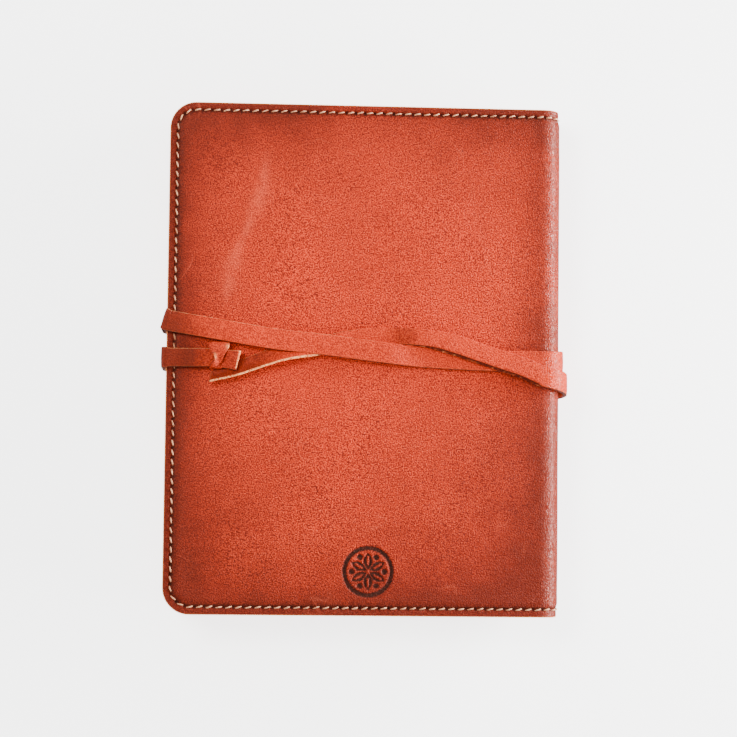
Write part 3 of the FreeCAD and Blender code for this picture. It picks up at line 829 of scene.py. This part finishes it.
def strap_route():
    """The strap from its cut end in the knot to its free tail, as the strands in order."""
    bend_share = (FORE_BEND_X - MID_X) / HALF_W + 0.01
    fold_share = (FOLD_X - MID_X) / HALF_W - 0.01
    inner = SPINE_R + STRAP_GAP + STRAP_T / 2
    low_arc, high_arc = BASE_Z + SPINE_R, TOP_Z - SPINE_R

    def level_c(x):
        stub_rise = 2.1 * ramp(x, across(-0.73), across(-0.64))
        return LOW + 0.90 * ramp(x, across(-0.93), across(-0.82)) + stub_rise

    def level_under(x):
        return UNDER_LOW + LEVEL * ramp(x, across(-0.80), across(-0.66))

    def level_flat(x):
        return UNDER_LOW + 0 * x

    def level_a(x):
        over = ramp(x, across(-0.96), across(-0.62)) * ramp(x, across(0.30), across(0.10))
        return LOW + LEVEL * over

    def level_b(x):
        lifted = 0.35 * ramp(x, across(0.22), across(0.36)) * ramp(x, across(0.99), across(0.7))
        return LOW + LEVEL * ramp(x, across(0.10), across(0.27)) + lifted

    stub = [(-0.637, -2.2), (-0.70, -1.5), (-0.79, -0.85), (-0.88, -0.9), (bend_share, -0.9)]
    strand_a = [(fold_share, -0.3), (0.62, -0.2), (0.342, 0.7), (0.14, 2.1), (-0.204, 5.6), (-0.471, 8.0),
                (-0.74, 11.8), (bend_share, 15.4)]
    strand_b = [(fold_share, -6.8), (0.80, -3.4), (0.696, -0.6), (0.548, 3.6), (0.437, 6.7), (0.30, 9.3),
                (0.183, 10.1), (0.097, 10.1), (-0.003, 9.4), (-0.11, 7.8), (-0.225, 5.3), (-0.35, 2.6),
                (-0.48, -0.7), (-0.629, -5.5), (-0.78, -9.7)]
    pieces = [
        flat_strand(stub, level_c, 1, 40),
        turned_strand(FORE_BEND_X, LOW - BEND, BEND, 90, 180, -0.9, -0.9, 7),
        turned_strand(FORE_BEND_X, UNDER_LOW + BEND, BEND, 180, 270, -0.9, -0.9, 7),
        flat_strand([(bend_share, -0.9), (-0.3, -0.4), (fold_share, 0.4)], level_under, -1, 60),
        turned_strand(FOLD_X, low_arc, inner, -90, 0, 0.4, 0.4, 12),
        turned_strand(FOLD_X, high_arc, inner, 0, 90, 0.4, -0.3, 12),
        flat_strand(strand_a, level_a, 1, 120),
        turned_strand(FORE_BEND_X + 0.5, LOW - BEND, BEND, 90, 180, 15.4, 16.0, 7, yaw=16),
        turned_strand(FORE_BEND_X, UNDER_LOW + BEND, BEND, 180, 270, 16.2, 16.0, 7, yaw=6),
        flat_strand([(bend_share, 16.0), (fold_share, -12.5)], level_flat, -1, 40),
        turned_strand(FOLD_X, low_arc, inner + LEVEL, -90, 0, -12.5, -10.6, 12),
        turned_strand(FOLD_X, high_arc, inner + LEVEL, 0, 90, -10.6, -6.9, 12),
        flat_strand(strand_b, level_b, 1, 170),
    ]
    place = np.concatenate([p for p, _ in pieces])
    out = np.concatenate([o for _, o in pieces])
    strand = np.concatenate([np.full(len(p), k) for k, (p, _) in enumerate(pieces)])
    keep = np.concatenate([[True], np.linalg.norm(np.diff(place, axis=0), axis=1) > 0.05])
    return place[keep], out[keep], strand[keep]


def strap_section(steps=7):
    """Half-size units round a flat strap: a slightly domed face, rounded shoulders and a cut side.
    The last array is 1 on the cut sides and 0.4 on the flesh side."""
    face = np.linspace(-0.90, 0.90, steps)
    dome = 0.5 + 0.07 * (1 - (face / 0.9) ** 2)
    side = np.array([0.965, 0.995, 1.0, 1.0, 0.99, 0.955])
    side_height = np.array([0.46, 0.34, 0.14, -0.14, -0.36, -0.47])
    a = np.concatenate([face, side, face[::-1], -side[::-1]]) / 2
    b = np.concatenate([dome, side_height, -0.5 * np.ones(steps), side_height[::-1]])
    cut = np.array([0.15, 0.8, 1, 1, 1, 0.8])
    raw = np.concatenate([np.zeros(steps), cut, np.full(steps, 0.4), cut[::-1]])
    return a, b, raw


def ribbon(place, out, width, thick, curl, slant=0.0, closed=False):
    """The strap's section carried along a line: square to the line, scaled to the local width and
    thickness, and bent across its width into an arc through the curl angle. The upper edge stays flat
    and the lower edge lifts: at a share u of the width the section lies w sin(cu)/c across and
    w (1 - cos(cu))/c up. The lower side is cut on a slant, so its top lies in by the slant."""
    if closed:
        along = unit(np.roll(place, -1, axis=0) - np.roll(place, 1, axis=0))
    else:
        along = unit(np.gradient(place, axis=0))
    side = unit(np.cross(out, along))
    face = np.cross(along, side)
    a, b, raw = strap_section()
    curl = np.maximum(curl, 1e-3)[:, None]
    slant = np.broadcast_to(slant, len(place))[:, None]
    a = a - slant / width[:, None] * (b + 0.5) * np.clip(2 * a, 0, 1) ** 4
    turned = curl * (a + 0.5)
    depth = b * thick[:, None]
    sideways = width[:, None] * (np.sin(turned) / curl - 0.5) - depth * np.sin(turned)
    up = width[:, None] * (1 - np.cos(turned)) / curl + depth * np.cos(turned)
    points = place[:, None] + side[:, None] * sideways[..., None] + face[:, None] * up[..., None]
    return points, np.broadcast_to(raw, points.shape[:2]).copy()


def ring_faces(rings, around, first):
    """Quads of a tube that closes on itself both ways."""
    index = first + np.arange(rings * around).reshape(rings, around)
    after = np.roll(index, -1, axis=0)
    quads = np.stack([index, np.roll(index, -1, axis=1), np.roll(after, -1, axis=1), after], -1)
    return quads.reshape(-1, 4).tolist()


def knot_loop():
    """The turn of the overhand knot: a flattened ring round the strap. Its band is broad where it comes
    over the upper edge and is drawn in to less than half as it dives under the lower edge; the sides of
    the narrow part curl up. Besides the points it gives the raw lips, and painted shade on the cut sides
    of its upper half for the knot's gaps."""
    phi = np.linspace(0, 2 * math.pi, 73)[:-1]
    rise = np.sin(phi)
    y = 0.3 + 5.3 * np.cos(phi)
    z = LOW + 0.95 + np.where(rise > 0, 1.65, 1.40) * np.abs(rise) ** 0.7 * np.sign(rise)
    broad = ramp(y, -1.4, 4.6)
    low = ramp(y, -1.0, -5.0)
    x = across(-0.735) - 1.3 * low
    place = np.column_stack([x, y, z])
    out = unit(place - np.array([across(-0.735), 0.3, LOW + 0.95]))
    out[:, 0] = 0
    width = 3.7 + 5.5 * broad + 1.7 * low
    thick = np.where(rise > -0.1, 1.5, 0.9)
    points, raw = ribbon(place, out, width, thick, 0 * phi, closed=True)
    reach = np.abs(points[..., 0] - x[:, None]) / (width[:, None] / 2)
    points[..., 2] += 0.55 * ramp(reach, 0.3, 1.0) * (bump(y, -0.8, 2.0) * (rise > 0))[:, None]
    lips = bump(points[..., 0], across(-0.755), 0.8) * bump(points[..., 1], -0.3, 1.1)
    lips = lips + bump(points[..., 0], across(-0.69), 0.8) * bump(points[..., 1], 4.2, 1.0)
    upper = (rise > 0)[:, None]
    # the third value is painted shade on the cut sides of the upper half, for the knot's gaps
    return points, 0.8 * lips * upper, 0.65 * raw * upper * (1 - np.clip(2 * lips, 0, 1))


def strap_body(place, out, strand):
    """The strap's surface: narrower towards the tail and in the knot, thinner at the tail, and curled up
    along the tail's lower edge. Also gives how raw each point is and the width at each station."""
    x = place[:, 0]
    tail = strand == strand.max()
    slim = 1.4 * ramp(x, across(0.46), across(0.26)) + 0.5 * bump(x, across(0.15), 12)
    slim = slim + 0.4 * ramp(x, across(-0.45), across(-0.60)) + 2.1 * ramp(x, across(-0.62), across(-0.80))
    width = np.where(tail, STRAP_W - slim, STRAP_W)
    width = np.where(strand == 0, 8.4 + 0.6 * ramp(x, across(-0.70), across(-0.64)), width)
    curl = 1.05 * ramp(x, across(-0.13), across(-0.42)) + 0.16 * bump(x, across(0.50), 22)
    slant = 0.25 + 1.15 * tail * ramp(x, across(0.22), across(0.40))
    thick = STRAP_T - 0.75 * tail * ramp(x, across(-0.2), across(-0.45))
    points, raw = ribbon(place, out, width, thick, np.where(tail, curl, 0.0), slant)
    upper = np.arange(raw.shape[1]) >= 20
    furred = np.random.default_rng(9).uniform(0.1, 1.0, len(place)) * ramp(x, across(0.15), across(-0.15))
    raw = np.where(upper & (strand > 4)[:, None], raw * furred[:, None], raw)
    # the stub's cut end shows raw leather; the tail's cut end shows little, so it stays dark as painted shade
    # where it is tucked under
    raw[0], raw[-1] = 1.0, 0.1
    return points, raw, width


def fold_strap(points, place, strand, low_side):
    """Gathers the last turn in small sine folds where it changes from under to over, creases it at the
    spine, and cuts the tail and the stub off at a slant."""
    x = place[:, 0]
    tail = strand == strand.max()
    px, py = points[..., 0], points[..., 1]
    gather = np.sin(px * 2.7 + 0.25 * np.sin(py * 0.9)) * bump(px, across(0.195), 3.2)
    creases = np.sin(px * 3.4 + py * 0.35) * bump(px, across(0.76), 9)
    points[..., 2] += tail[:, None] * (0.17 * gather + 0.09 * creases)
    tail_end = tail * ramp(x, across(-0.70), across(-0.78))
    stub_end = (strand == 0) * ramp(x, across(-0.66), across(-0.616))
    points[..., 0] += (3.0 * tail_end + 1.9 * stub_end)[:, None] * (0.5 - low_side)


def lower_side_shade(place, strand, raw, low_side):
    """Painted shade on the lower cut side, which is the one that is seen: how far it is darkened as if in
    shadow. Its lip shows raw leather in specks."""
    tail = strand == strand.max()
    burr = np.random.default_rng(8).random(len(place)) ** 3
    # painted shade everywhere but along the tail's curled part, whose lower cut side faces up
    shade_on_sides = np.where(tail, ramp(place[:, 0], across(-0.12), across(0.06)), 1.0)[:, None]
    lip = np.zeros(raw.shape)
    lip[:, 10:12] = 1.0
    specks = (burr * np.where(tail, 0.9, 0.35))[:, None] * lip
    return shade_on_sides * (raw > 0.5) * (low_side > 0.8) * (1 - specks)


def strap_shade(px, strand):
    """Painted shade on the strap: darker at its turns, over the stub, in the folds and towards the tail's
    end.
    """
    tail = (strand == strand.max())[:, None]
    shade = 0.12 + 0.85 * ramp(px, across(-0.78), across(-0.96)) * (strand != 3)[:, None]
    shade = shade + 0.38 * (strand == 0)[:, None] + 0.25 * ramp(px, across(0.80), across(0.95))
    # painted shade in the gathered folds and towards the tail's end
    wear_and_shade = 0.35 * bump(px, across(0.20), 5) + 0.75 * ramp(px, across(-0.38), across(-0.55))
    return shade + tail * wear_and_shade


def wrap_strap(material):
    """The whole strap in one piece, with the turn of its knot."""
    place, out, strand = strap_route()
    points, raw, width = strap_body(place, out, strand)
    low_side = np.clip(0.5 - (points[..., 1] - place[:, 1:2]) / width[:, None], 0, 1)
    fold_strap(points, place, strand, low_side)
    shade_on_sides = lower_side_shade(place, strand, raw, low_side)
    shade = strap_shade(points[..., 0], strand)

    loop, loop_raw, knot_gap_shade = knot_loop()
    rings, around = points.shape[:2]
    faces = tube_faces(rings, around)
    faces += [np.arange(around)[::-1].tolist(), (np.arange(around) + (rings - 1) * around).tolist()]
    faces += ring_faces(len(loop), around, rings * around)
    shade = np.concatenate([shade.ravel(), np.full(loop_raw.size, 0.40)])
    raw = np.concatenate([(raw * (1 - shade_on_sides)).ravel(), loop_raw.ravel()])
    shade_on_sides = np.concatenate([shade_on_sides.ravel(), knot_gap_shade.ravel()])
    everything = np.concatenate([points.reshape(-1, 3), loop.reshape(-1, 3)])
    frayed = np.random.default_rng(5).normal(0, 0.03, everything.shape) * (raw > 0.8)[:, None]
    values = {"burnish_and_painted_shade": shade, "raw": raw * 0.9, "pressed": shade_on_sides * 0.9,
              "polish": ramp(everything[:, 0], FOLD_X - 0.5, FOLD_X + 2.5)}
    return make_piece("leather_wrap_strap", everything + frayed, faces, material, values, merge=False)


# ---- loose fibres -------------------------------------------------------------------------------

def edge_fibres(name, back, material, count, seed):
    """Fine fibres that stand out of the raw edges: thin three-sided hairs that bend and taper."""
    draw = np.random.default_rng(seed)
    s = draw.uniform(2, cover.length - 2, count)
    anchor, out = cover.rim(s)
    side = np.stack([-out[:, 1], out[:, 0]], -1)
    length = draw.gamma(2.0, 0.30, count).clip(0.15, 1.9)
    sway = draw.normal(0, 0.9, count)
    depth = draw.uniform(0.3, 3.8, count)
    t = np.linspace(0, 1, 5)[None, :]
    reach = CORNER_R - 0.15 + length[:, None] * t
    drift = sway[:, None] * length[:, None] * t ** 2 * 0.6
    flat = anchor[:, None] + out[:, None] * reach[..., None] + side[:, None] * drift[..., None]
    rise = draw.normal(0, 0.35, count)[:, None] * length[:, None] * t ** 2
    ring = np.arange(3) * 2 * math.pi / 3
    radius = 0.032 * (1 - 0.75 * t)
    offset = radius[..., None] * np.cos(ring)
    px = flat[..., 0][..., None] + side[:, 0][:, None, None] * offset
    py = flat[..., 1][..., None] + side[:, 1][:, None, None] * offset
    q = depth[:, None, None] - rise[..., None] + radius[..., None] * np.sin(ring)
    points = round_spine(px, py, q, back)
    first = (np.arange(count) * 15)[:, None, None]
    faces = (np.array(tube_faces(5, 3))[None] + first).reshape(-1, 4).tolist()
    return make_piece(name, points, faces, material, merge=False)


# ---- put together -------------------------------------------------------------------------------

def bend_lower(piece):
    """Bakes the piece's placement into its mesh."""
    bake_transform(piece)


def bend_upper(piece):
    """Bakes the piece's placement into its mesh."""
    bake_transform(piece)


def build_cover():
    """Hide, lining, sleeves, seams and fibres of both halves. The CAD's spine nodes go with the front
    half, so they are replaced with it."""
    hide = pull_up_leather("pull_up_cowhide", "#CB300F", "#651A0C", "#4A0E08", "#EE5228", 1.0, 0.42)
    lining = natural_leather("rolled_lining_leather", "#C98B5C", "#8E5632")
    sleeve = natural_leather("vegetable_tanned_sleeve", "#CF9160", "#96592F")
    thread = waxed_linen_thread()
    fibre = natural_leather("raw_edge_fibre", "#D98F68", "#A85436")
    outside_level = 0.66
    inside_level = POCKET_DEPTH + SLEEVE - 0.20
    for side, back, bend in (("front", False, bend_lower), ("back", True, bend_upper)):
        parts = [side] if back else [side, "spine"]
        leather = outer_hide(side + "_hide", back, hide)
        inner = lining_sheet(side + "_lining", back, lining)
        outer_seam = stitches(side + "_outside_stitches", outside_level, 1, back, thread, 21 + back)
        inner_seam = stitches(side + "_inside_stitches", inside_level, -1, back, thread, 31 + back)
        fibres = edge_fibres(side + "_edge_fibres", back, fibre, 900, 41 + back)
        for piece, node, slot in ((leather, "outer_leather_", "outer_leather"),
                                  (inner, "lining_", "lining_leather"),
                                  (outer_seam, "needle_thread_", "waxed_thread"),
                                  (inner_seam, "bobbin_thread_", "waxed_thread"),
                                  (fibres, None, "outer_leather")):
            bend(piece)
            if node:
                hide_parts(*[node + part for part in parts])
        leaf = sleeve_leaf(side + "_sleeve", back, sleeve)
        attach(leaf, side + "_cover")
        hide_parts("sleeve_" + side)


def build_refill():
    """Six sections of leaves and the tape over their folds; the CAD's two cards only get their look."""
    paper = book_paper()
    for number in range(1, 4):
        for back in (False, True):
            node = "paper_section_%d" % (7 - number if back else number)
            piece = paper_section(node + "_leaves", number, back, paper)
            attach(piece, "rear_leaves" if back else "front_cover")
            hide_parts(node)
    tape = binding_tape(woven_book_cloth())
    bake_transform(tape)
    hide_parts("binding_tape_front", "binding_tape_back")
    card = kraft_card()
    for side in ("front", "back"):
        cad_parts["card_cover_" + side].material_slots[0].material = card


def build_strap():
    """The strap rides on its own body."""
    leather = pull_up_leather("pull_up_strap_leather", "#CA310D", "#6A1C0A", "#4A0E08", "#EE5228", 0.7, 0.44)
    strap = wrap_strap(leather)
    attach(strap, "strap")
    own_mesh(strap)
    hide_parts("wrap_strap")


# ---- floor, light and camera --------------------------------------------------------------------

def studio():
    """A wide pale floor, a soft key light beyond the head and the fore-edge, a low long light at the
    spine, a weak one beyond the tail, and light from all round."""
    material, _, shader = new_material("matt_white_paper_floor")
    shader.inputs["Base Color"].default_value = to_linear("#F8F8F7")
    shader.inputs["Roughness"].default_value = 0.9
    shader.inputs["Emission Color"].default_value = to_linear("#FFFFFF")
    shader.inputs["Emission Strength"].default_value = 3.0
    size = 4000.0
    corners = np.array([[-size, -size, 0], [size, -size, 0], [size, size, 0], [-size, size, 0]])
    floor = make_piece("floor", corners, [[0, 1, 2, 3]], material, merge=False)
    floor.visible_glossy = False
    for name, place, aim, width, height, power in (
            ("key", (-0.65, 0.45, 1.00), (0, 0, 0), 0.6, 0.5, 20.5),
            ("tail_side", (0.25, -0.95, 0.85), (0, 0, 0), 0.9, 0.6, 3.0),
            ("spine_side", (0.78, 0.05, 0.15), (0.085, 0, 0.015), 0.9, 0.14, 42.0)):
        lamp = bpy.data.lights.new(name, "AREA")
        lamp.shape = "RECTANGLE"
        lamp.size = width
        lamp.size_y = height
        lamp.energy = power
        light = bpy.data.objects.new(name, lamp)
        light.location = place
        direction = Vector(aim) - Vector(place)
        light.rotation_euler = direction.to_track_quat("-Z", "Y").to_euler()
        bpy.context.scene.collection.objects.link(light)
    world = bpy.data.worlds.new("soft_room")
    world.use_nodes = True
    background = world.node_tree.nodes["Background"]
    background.inputs[0].default_value = to_linear("#FFFFFF")
    background.inputs[1].default_value = 0.65
    bpy.context.scene.world = world


def camera():
    """Nearly straight above, a little towards the tail and the fore-edge, on a long lens."""
    data = bpy.data.cameras.new("camera")
    data.lens = 100.0
    data.sensor_width = 36.0
    shot = bpy.data.objects.new("camera", data)
    shot.location = (-0.0535, -0.0682, 0.9351)
    shot.rotation_mode = "YXZ"
    shot.rotation_euler = (math.radians(3.953), math.radians(-3.468), math.radians(0.887))
    bpy.context.scene.collection.objects.link(shot)
    bpy.context.scene.camera = shot


build_cover()
build_refill()
build_strap()
studio()
camera()
